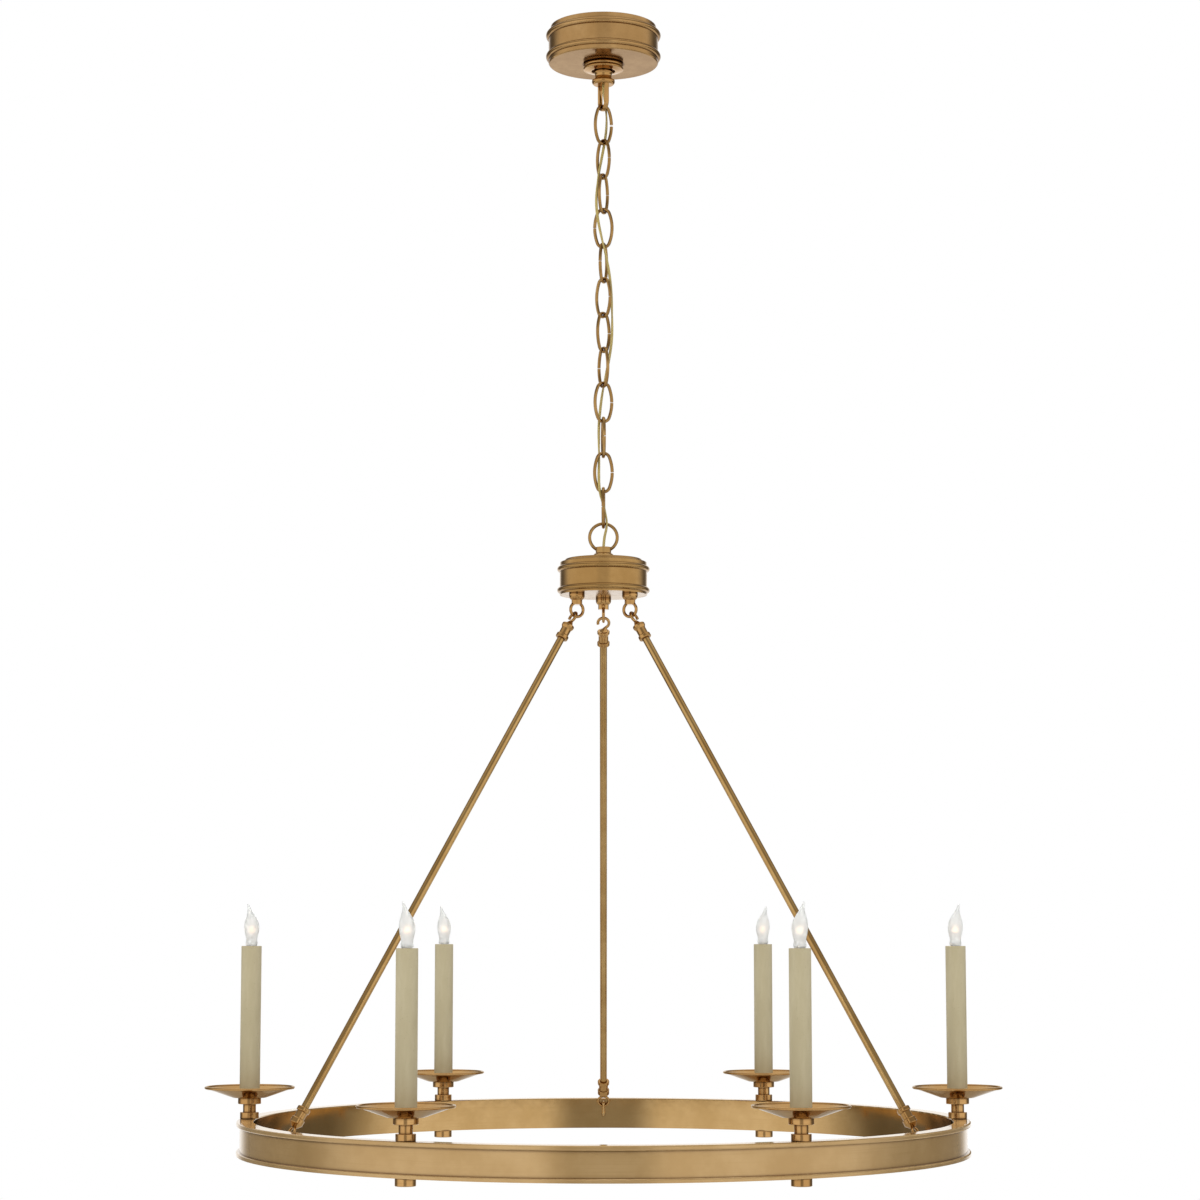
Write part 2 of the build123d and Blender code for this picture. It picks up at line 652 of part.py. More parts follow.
# Rods. Each is drawn in a plane whose Y runs up along the rod, with the hook's mouth towards -X.
# Both front hooks open towards the back.
ferrule_bead_radius = ferrule_bead_diameter / 2
ferrule_neck_radius = ferrule_neck_diameter / 2
rod_radius = rod_diameter / 2
for number, (angle, turn) in enumerate(zip(rod_angles, hook_turns), start=1):
    outward = Vector(math.cos(math.radians(angle)), math.sin(math.radians(angle)), 0)
    down_rod = outward * math.sin(rod_lean) - Vector(0, 0, math.cos(rod_lean))
    eye_centre = outward * lug_circle_radius + Vector(0, 0, lug_eye_centre)
    sideways = outward.rotate(Axis.Z, turn)
    rod_plane = Plane(origin=eye_centre, x_dir=sideways, z_dir=down_rod.cross(sideways))
    rod_axis = Axis(eye_centre, down_rod)

    with BuildPart() as rod_hook:
        free_end = math.radians(hook_free_end_angle)
        with BuildLine(rod_plane):
            arc = JernArc(
                (hook_radius * math.cos(free_end), hook_radius * math.sin(free_end) - hook_centre_along),
                (math.sin(free_end), -math.cos(free_end)),
                hook_radius,
                -(hook_free_end_angle + hook_stem_angle),
            )
        with BuildSketch(cross_section(arc)):
            Circle(hook_wire / 2)
        sweep(path=arc)
        with BuildSketch(Plane(origin=arc @ 1, z_dir=arc % 1)):
            Circle(hook_wire / 2)
        hook_root = eye_centre + down_rod * (ferrule_top_along + weld_depth)
        with BuildSketch(Plane(origin=hook_root, z_dir=down_rod)):
            Circle(hook_root_diameter / 2)
        loft()
        cup_bottom = ferrule_top_along + ferrule_cup_height
        neck_top = cup_bottom + ferrule_cup_taper
        neck_bottom = neck_top + ferrule_neck_height
        with BuildSketch(rod_plane):
            with BuildLine():
                FilletPolyline(
                    (0, -ferrule_bottom_along),
                    (0, -ferrule_top_along),
                    (ferrule_bead_radius, -ferrule_top_along),
                    (ferrule_bead_radius, -cup_bottom),
                    (ferrule_neck_radius, -neck_top),
                    (ferrule_neck_radius, -neck_bottom),
                    (ferrule_bead_radius, -neck_bottom),
                    (ferrule_bead_radius, -ferrule_bottom_along),
                    radius=[0, 0] + [ferrule_edge] * 3 + [0] + [ferrule_edge] * 2,
                    close=True,
                )
            make_face()
        revolve(axis=rod_axis)
        with BuildSketch(Plane(origin=eye_centre + down_rod * rod_top_along, z_dir=down_rod)):
            Circle(rod_radius)
        extrude(amount=rod_socket_depth, mode=Mode.SUBTRACT)
    save(rod_hook, f"rod_hook_{number}")

    with BuildPart() as rod_tube:
        with BuildSketch(Plane(origin=eye_centre + down_rod * rod_top_along, z_dir=down_rod)):
            Circle(rod_radius)
            Circle(rod_radius - rod_wall, mode=Mode.SUBTRACT)
        extrude(amount=rod_bottom_along - rod_top_along)
    save(rod_tube, f"rod_tube_{number}")

    with BuildPart() as rod_foot:
        neck_top = foot_top_along + ferrule_bead_height
        neck_bottom = neck_top + ferrule_neck_height
        cone_top = foot_cone_tip_along - foot_cone_height
        with BuildSketch(rod_plane):
            with BuildLine():
                FilletPolyline(
                    (0, -foot_cone_tip_along),
                    (0, -foot_top_along),
                    (ferrule_bead_radius, -foot_top_along),
                    (ferrule_bead_radius, -neck_top),
                    (ferrule_neck_radius, -neck_top),
                    (ferrule_neck_radius, -neck_bottom),
                    (ferrule_bead_radius, -neck_bottom),
                    (ferrule_bead_radius, -cone_top),
                    (foot_eye_wire, -foot_cone_tip_along),
                    radius=[0, 0, ferrule_edge, ferrule_edge, 0, 0, ferrule_edge, ferrule_edge, 0],
                    close=True,
                )
            make_face()
        revolve(axis=rod_axis)
        with Locations(Plane(origin=eye_centre + down_rod * rod_length, z_dir=rod_plane.z_dir)):
            Torus(foot_eye_radius, foot_eye_wire / 2)
        with BuildSketch(Plane(origin=eye_centre + down_rod * foot_top_along, z_dir=down_rod)):
            Circle(rod_radius)
        extrude(amount=rod_socket_depth, mode=Mode.SUBTRACT)
    save(rod_foot, f"rod_foot_{number}")

# Ring: an inverted channel with beads on its outer face
ring_web_top = ring_top - ring_top_bead_height
ring_web_bottom = ring_bottom + ring_low_bead_height
with BuildPart() as ring_channel:
    with BuildSketch(Plane.XZ):
        with BuildLine():
            Polyline(
                (ring_inner_radius, ring_bottom),
                (ring_inner_radius, ring_top - ring_edge),
            )
            RadiusArc(
                (ring_inner_radius, ring_top - ring_edge),
                (ring_inner_radius + ring_edge, ring_top),
                ring_edge,
            )
            Line((ring_inner_radius + ring_edge, ring_top), (ring_radius - ring_edge, ring_top))
            RadiusArc(
                (ring_radius - ring_edge, ring_top),
                (ring_radius, ring_top - ring_edge),
                ring_edge,
            )
            Line((ring_radius, ring_top - ring_edge), (ring_radius, ring_web_top + ring_edge))
            RadiusArc(
                (ring_radius, ring_web_top + ring_edge),
                (ring_radius - ring_edge, ring_web_top),
                ring_edge,
            )
            Polyline(
                (ring_radius - ring_edge, ring_web_top),
                (ring_web_radius, ring_web_top),
                (ring_web_radius, ring_web_bottom),
                (ring_radius - ring_edge, ring_web_bottom),
            )
            RadiusArc(
                (ring_radius - ring_edge, ring_web_bottom),
                (ring_radius, ring_web_bottom - ring_edge),
                ring_edge,
            )
            Polyline(
                (ring_radius, ring_web_bottom - ring_edge),
                (ring_radius, ring_bottom),
                (ring_channel_outer, ring_bottom),
                (ring_channel_outer, ring_top - ring_wall),
                (ring_channel_inner, ring_top - ring_wall),
                (ring_channel_inner, ring_bottom),
                (ring_inner_radius, ring_bottom),
            )
        make_face()
    revolve(axis=Axis.Z)
    with BuildSketch(Plane.XY.offset(ring_top)):
        with PolarLocations(candle_circle_radius, candle_count):
            Circle(nipple_hole)
    extrude(amount=-ring_wall, mode=Mode.SUBTRACT)
    for angle in rod_angles:
        outward = Vector(math.cos(math.radians(angle)), math.sin(math.radians(angle)), 0)
        for height in (staple_top, staple_bottom):
            hole_start = outward * (ring_inner_radius - ring_wall) + Vector(0, 0, height)
            with BuildSketch(Plane(origin=hole_start, z_dir=outward)):
                Circle(staple_wire / 2 + fit_gap)
            extrude(amount=3 * ring_wall, mode=Mode.SUBTRACT)
save(ring_channel, "ring_channel")

# Strip that closes the channel, and the wiring loop that lies on it
with BuildPart() as ring_base_strip:
    with BuildSketch(Plane.XY.offset(ring_bottom)):
        Circle(ring_channel_outer - fit_gap)
        Circle(ring_channel_inner + fit_gap, mode=Mode.SUBTRACT)
        with PolarLocations(candle_circle_radius, candle_count):
            Circle(nipple_hole, mode=Mode.SUBTRACT)
    extrude(amount=ring_wall)
save(ring_base_strip, "ring_base_strip")

with BuildPart() as ring_wiring:
    with Locations((0, 0, ring_bottom + ring_wall + ring_wire_diameter / 2)):
        Torus(ring_channel_inner + ring_wire_diameter / 2 + fit_gap, ring_wire_diameter / 2)
save(ring_wiring, "ring_wiring")

# Staples: two legs through the inner wall and a bight that the rod's eye hangs in
with BuildPart() as ring_staples:
    for angle in rod_angles:
        outward = Vector(math.cos(math.radians(angle)), math.sin(math.radians(angle)), 0)
        staple_plane = Plane(origin=(0, 0, 0), x_dir=outward, z_dir=outward.rotate(Axis.Z, -90))
        staple_end = ring_inner_radius + staple_depth
        with BuildLine(staple_plane) as staple_path:
            FilletPolyline(
                (staple_end, staple_top),
                (staple_bight_radius, staple_top),
                (staple_bight_radius, staple_bottom),
                (staple_end, staple_bottom),
                radius=staple_bend,
            )
        with BuildSketch(cross_section(staple_path.line)):
            Circle(staple_wire / 2)
        sweep(path=staple_path.line)
save(ring_staples, "ring_staples")

# Candle nipples, from the nut below the ring up into the lamp holder
candle_nipple_bottom = candle_nut_bottom + candle_nut_floor
candle_nipple_top = sleeve_bottom + nipple_grip
with BuildPart() as candle_nipples:
    with BuildSketch(Plane.XY.offset(candle_nipple_bottom)):
        with PolarLocations(candle_circle_radius, candle_count):
            Circle(nipple_radius)
            Circle(nipple_bore / 2, mode=Mode.SUBTRACT)
    extrude(amount=candle_nipple_top - candle_nipple_bottom)
save(candle_nipples, "candle_nipples")

# Turned posts between the ring and the pans
post_neck_bottom = ring_top + post_collar_height
post_neck_top = post_neck_bottom + post_neck_height
with BuildPart() as post:
    with BuildSketch(Plane.XZ):
        with BuildLine():
            FilletPolyline(
                (nipple_hole, ring_top),
                (post_collar_diameter / 2, ring_top),
                (post_collar_diameter / 2, post_neck_bottom),
                (post_neck_diameter / 2, post_neck_bottom),
                (post_neck_diameter / 2, post_neck_top),
                (post_cap_diameter / 2, post_neck_top),
                (post_cap_diameter / 2, pan_floor),
                (nipple_hole, pan_floor),
                radius=[0, post_edge, post_edge, 0, 0, post_edge, post_edge, 0],
                close=True,
            )
        make_face()
    revolve(axis=Axis.Z)

with BuildPart() as candle_posts:
    with PolarLocations(candle_circle_radius, candle_count):
        add(post.part)
save(candle_posts, "candle_posts")

# Drip pans with a rolled rim
pan_rim = pan_floor + pan_height - pan_roll_diameter / 2
pan_roll_radius = pan_roll_diameter / 2
with BuildPart() as pan:
    with BuildSketch(Plane.XZ):
        with BuildLine():
            Polyline(
                (nipple_hole, pan_floor),
                (pan_floor_diameter / 2, pan_floor),
                (pan_diameter / 2 - pan_roll_radius, pan_rim - pan_wall / 2),
                (pan_diameter / 2 - pan_roll_radius, pan_rim + pan_wall / 2),
                (pan_floor_diameter / 2, pan_floor + pan_wall),
                (nipple_hole, pan_floor + pan_wall),
                close=True,
            )
        make_face()
        with Locations((pan_diameter / 2 - pan_roll_radius, pan_rim)):
            Circle(pan_roll_radius)
    revolve(axis=Axis.Z)

with BuildPart() as drip_pans:
    with PolarLocations(candle_circle_radius, candle_count):
        add(pan.part)
save(drip_pans, "drip_pans")

# Turned nuts below the ring
with BuildPart() as nut:
    with BuildSketch(Plane.XZ):
        with BuildLine():
            FilletPolyline(
                (0, candle_nipple_bottom),
                (0, candle_nut_bottom),
                (candle_nut_diameter / 2, candle_nut_bottom),
                (candle_nut_diameter / 2, ring_bottom),
                (nipple_radius, ring_bottom),
                (nipple_radius, candle_nipple_bottom),
                radius=[0, 0, post_edge, post_edge, 0, 0],
                close=True,
            )
        make_face()
    revolve(axis=Axis.Z)

with BuildPart() as candle_nuts:
    with PolarLocations(candle_circle_radius, candle_count):
        add(nut.part)
save(candle_nuts, "candle_nuts")

# Lamp holders: a stem on the nipple and a body with the bulb's screw socket
holder_body_bottom = holder_top - holder_body_height
bulb_seat = sleeve_top
socket_floor = bulb_seat - bulb_base_length - bulb_tip_contact_height
with BuildPart() as holder:
    with BuildSketch(Plane.XZ):
        with BuildLine():
            Polyline(
                (nipple_radius, sleeve_bottom),
                (holder_stem_diameter / 2, sleeve_bottom),
                (holder_stem_diameter / 2, holder_body_bottom),
                (holder_body_diameter / 2, holder_body_bottom),
                (holder_body_diameter / 2, holder_top),
                (bulb_base_diameter / 2 + running_gap, holder_top),
                (bulb_base_diameter / 2 + running_gap, socket_floor),
                (nipple_bore / 2, socket_floor),
                (nipple_bore / 2, candle_nipple_top),
                (nipple_radius, candle_nipple_top),
                close=True,
            )
        make_face()
    revolve(axis=Axis.Z)

with BuildPart() as lamp_holders:
    with PolarLocations(candle_circle_radius, candle_count):
        add(holder.part)
save(lamp_holders, "lamp_holders")

# Candle sleeves and flame bulbs, each of which lifts out by itself.
# A row of the flame gives a section's height above the seat, its diameter and its share of the tip's lean.
bulb_flame = [
    (0.0, bulb_neck_diameter, 0.0),
    (0.07 * bulb_height, bulb_neck_diameter, 0.0),
    (0.17 * bulb_height, (bulb_neck_diameter + bulb_diameter) / 2, 0.0),
    (0.29 * bulb_height, 0.96 * bulb_diameter, 0.0),
    (0.42 * bulb_height, bulb_diameter, 0.0),
    (0.58 * bulb_height, 0.91 * bulb_diameter, 0.06),
    (0.73 * bulb_height, 0.66 * bulb_diameter, 0.26),
    (0.85 * bulb_height, 0.39 * bulb_diameter, 0.55),
    (0.93 * bulb_height, 0.21 * bulb_diameter, 0.82),
    (bulb_height, bulb_tip_diameter, 1.0),
]
for number in range(1, candle_count + 1):
    angle = math.radians(360 / candle_count * (number - 1))
    place = Vector(candle_circle_radius * math.cos(angle), candle_circle_radius * math.sin(angle), 0)
    lean = math.copysign(bulb_tip_lean, math.cos(angle))

    with BuildPart() as candle_sleeve:
        with BuildSketch(Plane(place + Vector(0, 0, sleeve_bottom))):
            Circle(sleeve_diameter / 2)
            Circle(sleeve_diameter / 2 - sleeve_wall, mode=Mode.SUBTRACT)
        extrude(amount=sleeve_height)
    save(candle_sleeve, f"candle_sleeve_{number}")

    with BuildPart() as bulb_glass:
        for height, diameter, share in bulb_flame:
            with BuildSketch(Plane(place + Vector(share * lean, 0, bulb_seat + height))):
                Circle(diameter / 2)
        loft()
    with BuildPart() as bulb_base:
        with BuildSketch(Plane(place + Vector(0, 0, bulb_seat))):
            Circle(bulb_base_diameter / 2)
        extrude(amount=-bulb_base_length)
        with BuildSketch(Plane(place + Vector(0, 0, bulb_seat - bulb_base_length))):
            Circle(bulb_tip_contact_diameter / 2)
        extrude(amount=running_gap - bulb_tip_contact_height)
    with BuildPart() as bulb:
        add(bulb_glass.part)
        add(bulb_base.part)
    save(bulb, f"bulb_{number}")

# Lamp cord: straight runs joined by arcs as large as the runs allow
corners = [Vector(point) for point in cord_route]
cord_radii = []
for before, corner, after in zip(corners, corners[1:], corners[2:]):
    half_turn = math.radians((corner - before).get_angle(after - corner)) / 2
    shorter_run = min((corner - before).length, (after - corner).length)
    cord_radii.append(cord_run_share * shorter_run / math.tan(half_turn))
print("cord radii", [round(radius) for radius in cord_radii])
with BuildPart() as supply_cord:
    with BuildLine() as cord_path:
        FilletPolyline(*cord_route, radius=cord_radii)
    with BuildSketch(cross_section(cord_path.line)):
        Circle(cord_diameter / 2)
    sweep(path=cord_path.line)
cord_length = cord_path.wire().length
cord_section = math.pi * cord_diameter**2 / 4
print("cord length", round(cord_length, 1))
print("cord volume", round(supply_cord.part.volume), "of", round(cord_length * cord_section))
save(supply_cord, "supply_cord")
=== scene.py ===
import math

import bpy
from mathutils import Euler, Matrix, Vector


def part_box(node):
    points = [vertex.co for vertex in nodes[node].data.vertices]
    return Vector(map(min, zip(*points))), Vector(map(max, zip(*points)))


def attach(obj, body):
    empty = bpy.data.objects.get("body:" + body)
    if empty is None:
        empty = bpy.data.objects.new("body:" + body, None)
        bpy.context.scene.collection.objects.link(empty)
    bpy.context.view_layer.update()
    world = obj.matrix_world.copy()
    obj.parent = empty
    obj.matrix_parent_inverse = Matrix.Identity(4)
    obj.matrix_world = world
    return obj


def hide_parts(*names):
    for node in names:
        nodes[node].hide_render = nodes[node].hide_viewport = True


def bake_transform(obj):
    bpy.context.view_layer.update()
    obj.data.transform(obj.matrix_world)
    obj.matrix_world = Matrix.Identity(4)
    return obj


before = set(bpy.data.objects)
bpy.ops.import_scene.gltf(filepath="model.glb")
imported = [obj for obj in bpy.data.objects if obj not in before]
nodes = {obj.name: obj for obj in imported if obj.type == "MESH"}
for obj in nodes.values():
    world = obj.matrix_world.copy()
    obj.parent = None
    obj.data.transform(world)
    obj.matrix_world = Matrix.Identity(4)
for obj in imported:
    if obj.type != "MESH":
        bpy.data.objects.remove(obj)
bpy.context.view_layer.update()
MM = 0.001

# Camera, from the photograph's ring ellipse and candle sleeves
CAMERA_PLACE = Vector((0, -3.700, -1.1684))
CAMERA_PITCH = math.radians(6.405)
CAMERA_YAW = math.radians(0.068)
CAMERA_LENS = 87.3
CAMERA_SENSOR = 36.0

# Floor, which fades to white between two radii
FLOOR_HEIGHT = -2.45
FLOOR_RADIUS = 6.0
FLOOR_FADE = (1.6, 5.0)
FLOOR_SIDES = 96

# Lamps: place, point they face, size and power
LAMPS = {
    "key": ((-2.4, -2.6, 0.6), (0, 0, -0.9), 1.8, 55),
    "fill": ((2.6, -2.2, -0.4), (0, 0, -0.9), 1.8, 30),
    "top": ((0, 0.4, 1.6), (0, 0, -1.2), 2.0, 25),
}

# Studio seen in the metal. Bearings are measured from the camera's side, heights are a direction's Z.
# The light boxes and the backdrop fade in and out over these spans of bearing.
BOX_START = (math.radians(9), math.radians(22))
BOX_END = (math.radians(72), math.radians(110))
BACKDROP_START = (math.radians(146), math.radians(164))
# Over the horizon, the boxes reach further round and the gap in front is lighter.
HORIZON = (-0.05, 0.05)
BOX_END_RISE = math.radians(26)
GAP_LOW, GAP_HIGH = 0.26, 0.80
# The boxes fade above these heights, and the studio's top is bright.
BOX_TOP = (0.22, 0.50)
BOX_TOP_LEVEL = 0.25
STUDIO_TOP = (0.55, 0.90)
STUDIO_TOP_LEVEL = 0.95
STUDIO_DARK = (0.20, 0.185, 0.16)
STUDIO_BRIGHT = (1.12, 1.10, 1.07)
AMBIENT = (0.62, 0.62, 0.62)

# Ring: radius of its polished inner wall, and the wall's thickness
RING_INNER_RADIUS = 435.6 * MM
RING_WALL = 1.5 * MM

# Lamp cord: a flat twin lead. Half the arc of each lead is in degrees, the route's points in millimetres.
LINK_COUNT = 12
CORD_LEAD_RADIUS = 0.9 * MM
CORD_LEAD_HEIGHT = 1.2 * MM
CORD_LEAD_ARC = 80
CORD_TURNS = 3.5
CORD_CURVE_ORDER = 3
CORD_CURVE_STEPS = 12
CORD_ROUTE = [
    (0, 0, -66), (0, 0, -84), (3.5, 6.5, -106), (4.5, 10, -128), (2, 9, -150), (-2, 5.5, -172),
    (-6, 1, -194), (-8.5, -4, -216), (-9.5, -8, -238), (-7, -11, -260), (-2.5, -12, -282), (3, -9, -304),
    (7.5, -3.5, -326), (10, 1, -348), (11, 3, -370), (11.5, 3.5, -392), (11, 3.5, -414), (8, 5, -436),
    (3.5, 7.5, -458), (-1, 9.5, -480), (-4, 10.5, -502), (-6, 10.5, -524), (-6, 8.5, -546),
    (-5.5, 4.5, -568), (-6, -1.5, -590), (-5.5, -5.5, -612), (1, -6, -634), (5.5, -5, -656),
    (0, 0, -676), (0, 0, -694),
]

# Candle sleeves, with a lip at each end whose corner lies at a share of its size
CANDLE_COUNT = 6
SLEEVE_WALL = 1.3 * MM
SLEEVE_LIP = 0.5 * MM
LIP_CORNER = 0.3

# Bulb glass: shares of its height, width and lean, from the neck to the bent tip.
# The inner wall follows the outer one's rows, apart from some at each end.
BULB_WIDTH = 18.8 * MM
BULB_HEIGHT = 52.5 * MM
BULB_LEAN = 5.0 * MM
BULB_WALL = 0.8 * MM
BULB_SIDES = 48
FLAME = [
    (0.0, 0.60, 0), (0.02, 0.73, 0), (0.07, 0.79, 0), (0.13, 0.735, 0), (0.20, 0.77, 0), (0.31, 0.92, 0),
    (0.44, 1.0, 0.02), (0.57, 0.90, 0.10), (0.69, 0.65, 0.25), (0.785, 0.41, 0.44), (0.87, 0.255, 0.68),
    (0.94, 0.165, 0.88), (0.985, 0.125, 0.99), (1.0, 0.05, 1.0),
]
FLAME_STEPS = 60
INSIDE_ROWS = slice(3, -4)
INSIDE_LEAST_RADIUS = 0.1 * MM
TIP_RADIUS = 0.05 * MM

# Bulb filament: shares of its radius and height
FILAMENT = [(0.2, 0.0), (1.0, 0.3), (0.9, 0.6), (0.35, 1.0)]
FILAMENT_RADIUS = 3.8 * MM
FILAMENT_START = 16 * MM
FILAMENT_HEIGHT = 9 * MM
FILAMENT_STEPS = 12
FILAMENT_SIDES = 16

# Bulb base: top, thread, cone and contact, with depths below the sleeve's top
BASE_WIDTH = 12.0 * MM
BASE_LENGTH = 17.0 * MM
BASE_TOP_RADIUS = 4.2 * MM
BASE_SIDES = 40
THREAD_COUNT = 4
THREAD_STEPS = 6
THREAD_DEPTH = 0.7 * MM
THREAD_START = 2 * MM
THREAD_LENGTH = 11 * MM
CONE_RADIUS = 3.4 * MM
CONE_DEPTH = 15.6 * MM
CONTACT_RADIUS = 2.5 * MM
CONTACT_TIP_RADIUS = 0.8 * MM
CONTACT_HEIGHT = 1 * MM

# Colours, as linear light
WHITE = (1.0, 1.0, 1.0)
BRASS_LIGHT = (0.440, 0.272, 0.104)
BRASS_DEEP = (0.345, 0.198, 0.067)
# Dark patina mixed with painted shade, laid into grooves and between parts by ambient occlusion
BRASS_PATINA_AND_SHADE = (0.165, 0.080, 0.027)
RING_LIGHT = (0.545, 0.364, 0.165)
RING_DEEP = (0.460, 0.292, 0.118)
POST_LIGHT = (0.570, 0.345, 0.140)
POST_DEEP = (0.440, 0.245, 0.088)
FITTING_LIGHT = (0.540, 0.322, 0.122)
FITTING_DEEP = (0.410, 0.226, 0.078)
CANOPY_LIGHT = (0.495, 0.308, 0.132)
CANOPY_DEEP = (0.390, 0.226, 0.086)
ROD_LIGHT = (0.540, 0.352, 0.142)
ROD_DEEP = (0.420, 0.250, 0.088)
WIRE_DEEP = (0.300, 0.168, 0.055)
STEEL_LIGHT = (0.58, 0.57, 0.54)
STEEL_DEEP = (0.36, 0.36, 0.35)
IVORY = (0.510, 0.446, 0.285)
IVORY_SHADE = (0.458, 0.394, 0.242)
IVORY_SPECK = (0.300, 0.250, 0.140)
GLASS_LIGHT = (0.975, 0.980, 0.965)
GLASS_DEEP = (0.905, 0.910, 0.895)
GLOW_LIGHT = (1.0, 0.76, 0.58)
GLOW_DEEP = (1.0, 0.66, 0.46)
GLOW_BODY = (1.0, 0.75, 0.55)
SOCKET_LIGHT = (0.016, 0.014, 0.012)
SOCKET_DEEP = (0.008, 0.007, 0.006)
WIRING_LIGHT = (0.74, 0.72, 0.67)
WIRING_DEEP = (0.62, 0.60, 0.55)
JACKET_LIGHT = (0.56, 0.440, 0.145)
JACKET_DEEP = (0.30, 0.215, 0.055)
FLOOR_LIGHT = (0.74, 0.74, 0.74)
FLOOR_DEEP = (0.70, 0.70, 0.70)

# Tint of the metal's reflections at a grazing angle
PAN_EDGE = (0.70, 0.66, 0.58)
CANOPY_EDGE = (0.69, 0.70, 0.72)

# Noise cells to the metre along X, Y and Z
PATCH_CELLS = (16, 16, 16)
MOTTLE_CELLS = (110, 110, 110)
TURNED_LINES = (30, 30, 900)
RING_LINES = (8, 8, 500)
WIRE_LINES = (90, 90, 90)
ROD_LINES = (60, 60, 10)
SPANGLE_CELLS = (160, 160, 160)
IVORY_CLOUD_CELLS = (60, 60, 14)
IVORY_SPECK_CELLS = (900, 900, 700)
IVORY_GRAIN_CELLS = (420, 420, 260)
GLASS_CELLS = (300, 300, 200)
GLOW_CELLS = (120, 120, 120)
PLASTIC_CELLS = (500, 500, 500)
STRAND_CELLS = (700, 700, 160)
FLOOR_CELLS = (0.8, 0.8, 0.8)

# Spans of noise, or of openness in the grooves, over which a blend runs
PATCH_SPAN = (0.3, 0.7)
MOTTLE_SPAN = (0.35, 0.65)
LINE_SPAN = (0.30, 0.50)
SPECK_SPAN = (0.70, 0.78)
GROOVE_SPAN = (0.45, 0.86)

# Finishes: roughness (least and most where it varies), depth of relief, and shares of an effect
BRASS_ROUGH = (0.12, 0.2)
POST_ROUGH = (0.10, 0.16)
FITTING_ROUGH = (0.06, 0.11)
RING_ROUGH = (0.08, 0.11)
STEEL_ROUGH = (0.28, 0.42)
IVORY_ROUGH = 0.5
GLASS_ROUGH = 0.55
SOCKET_ROUGH = 0.5
WIRING_ROUGH = 0.45
JACKET_ROUGH = 0.35
FLOOR_ROUGH = 0.8
# Reach of the ambient occlusion that paints patina and shade into grooves and between parts
GROOVE_REACH = 6.0 * MM
FITTING_REACH = 2.5 * MM
GROOVE_SAMPLES = 16
LINE_DEPTH = 0.03 * MM
LINE_STRENGTH = 0.12
LINE_LEAST = 0.6
BLOTCH = 0.35
RING_BLOTCH = 0.12
RING_HAZE = 0.45
IVORY_DEPTH = 0.08 * MM
IVORY_STRENGTH = 0.3
PLASTIC_DEPTH = 0.05 * MM
PLASTIC_STRENGTH = 0.2
GLASS_IOR = 1.3
GLASS_CLEAR = 0.66
GLOW_STRENGTH = 1.4
JACKET_COAT = 0.3


def plug(tree, socket, value):
    """Links an input to a node's output, or sets it to a constant."""
    if isinstance(value, bpy.types.NodeSocket):
        tree.links.new(value, socket)
    elif socket.type == "RGBA":
        socket.default_value = (*value, 1.0)
    else:
        socket.default_value = value


def feed(tree, node, inputs):
    """Gives a node its input values or links."""
    for key, value in inputs.items():
        plug(tree, node.inputs[key], value)


def shader(name):
    """A new material with its node tree and its main shader."""
    material = bpy.data.materials.new(name)
    material.use_nodes = True
    return material, material.node_tree, material.node_tree.nodes["Principled BSDF"]


def add(tree, kind, inputs=(), **settings):
    """A node of the given kind, with its settings and its input values or links."""
    made = tree.nodes.new(kind)
    for key, value in settings.items():
        setattr(made, key, value)
    feed(tree, made, dict(inputs))
    return made


def work(tree, operation, first, second=0.0):
    """One step of arithmetic."""
    return add(tree, "ShaderNodeMath", {0: first, 1: second}, operation=operation).outputs[0]


def stretched(tree, scale):
    """Object coordinates, scaled along each axis."""
    place = add(tree, "ShaderNodeTexCoord").outputs["Object"]
    return add(tree, "ShaderNodeMapping", {"Vector": place, "Scale": scale}).outputs["Vector"]


def axis_distance(tree):
    """Distance from the object's own Z axis."""
    flat = stretched(tree, (1, 1, 0))
    return add(tree, "ShaderNodeVectorMath", {0: flat}, operation="LENGTH").outputs["Value"]


def noise(tree, scale, detail=4.0, roughness=0.55):
    """Noise with a scale of its own along each axis, in cells to the metre."""
    made = add(tree, "ShaderNodeTexNoise", {
        "Vector": stretched(tree, scale), "Scale": 1.0, "Detail": detail, "Roughness": roughness,
    })
    return made.outputs["Fac"]


def ramp(tree, value, low, high, start=0.0, end=1.0):
    """Maps a span of values to a new span, clamped and eased."""
    made = add(tree, "ShaderNodeMapRange", {
        "Value": value, "From Min": low, "From Max": high, "To Min": start, "To Max": end,
    }, interpolation_type="SMOOTHSTEP")
    return made.outputs["Result"]


def mix(tree, share, first, second):
    """A blend of two colours, which are inputs 6 and 7 of the node and come out at output 2."""
    return add(tree, "ShaderNodeMix", {0: share, 6: first, 7: second}, data_type="RGBA").outputs[2]


def bump(tree, height, distance, strength):
    """The surface's direction when it is raised by a height value."""
    made = add(tree, "ShaderNodeBump", {"Height": height, "Distance": distance, "Strength": strength})
    return made.outputs["Normal"]


